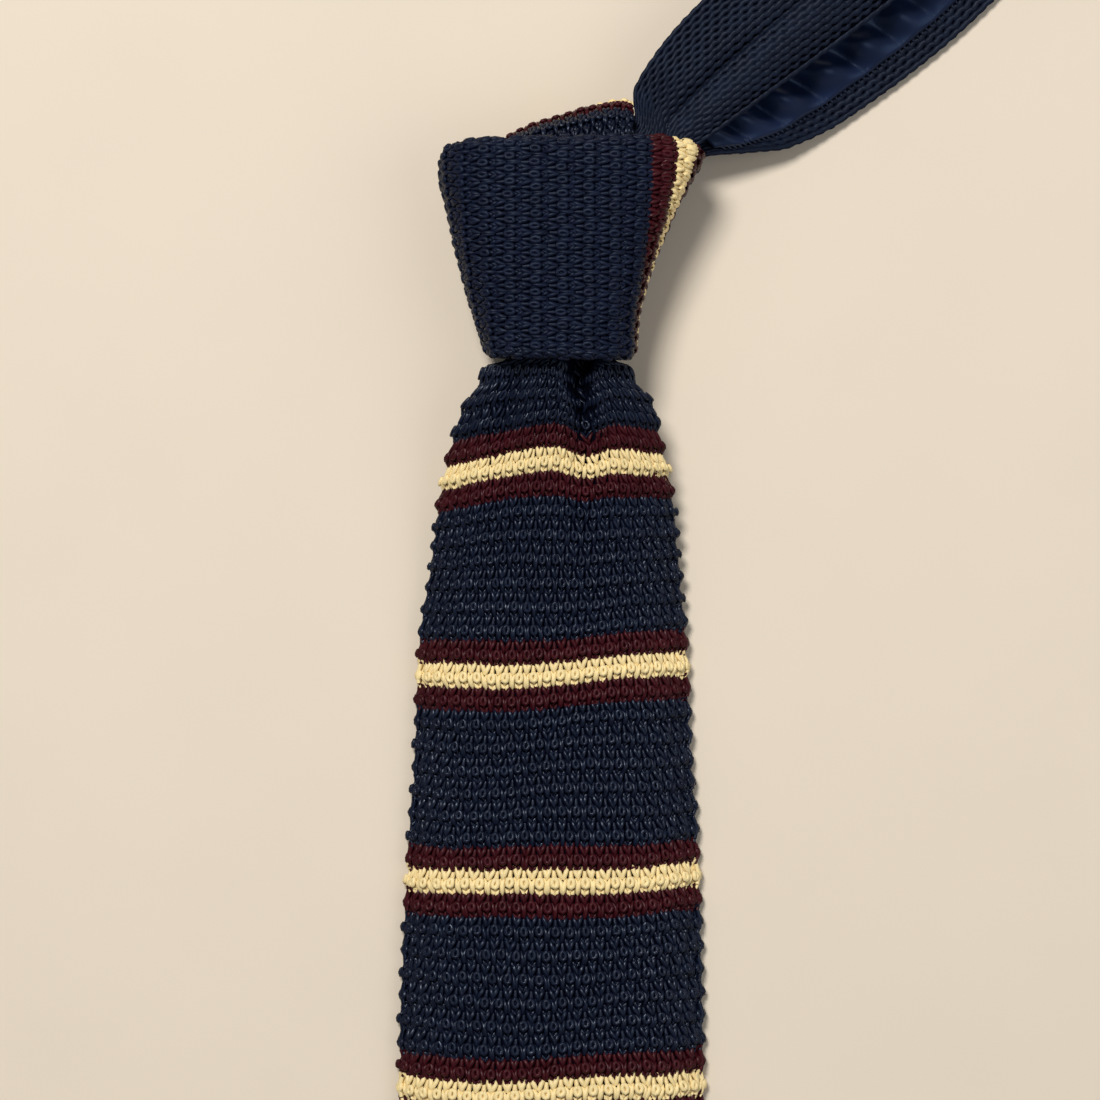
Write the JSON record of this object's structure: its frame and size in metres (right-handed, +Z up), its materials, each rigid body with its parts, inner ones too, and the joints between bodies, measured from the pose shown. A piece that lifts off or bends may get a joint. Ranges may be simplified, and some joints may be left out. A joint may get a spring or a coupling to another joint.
{
  "type": "knit necktie",
  "caption": "Striped knit necktie tied in a four-in-hand knot, lying face up: square-ended front blade over a narrow tail, and a whole neck loop of fine mesh with a satin lining.",
  "frame": {"origin": "on the surface the tie lies on, under the middle of the knot", "axes": "+Y from the front blade's free end towards the knot, +X to the right when looking down on the tie's face, +Z up from the surface"},
  "size_m": [0.1918, 0.3601, 0.026],
  "materials": {
    "rib_knit": "silky ribbed knit",
    "mesh_knit": "fine mesh knit",
    "satin": "soft satin"
  },
  "bodies": {
    "root": {"front_blade": "rib_knit", "knot_wrap": "rib_knit", "tail_blade": "rib_knit", "neck_band": "mesh_knit", "neck_lining": "satin"}
  },
  "joints": []
}
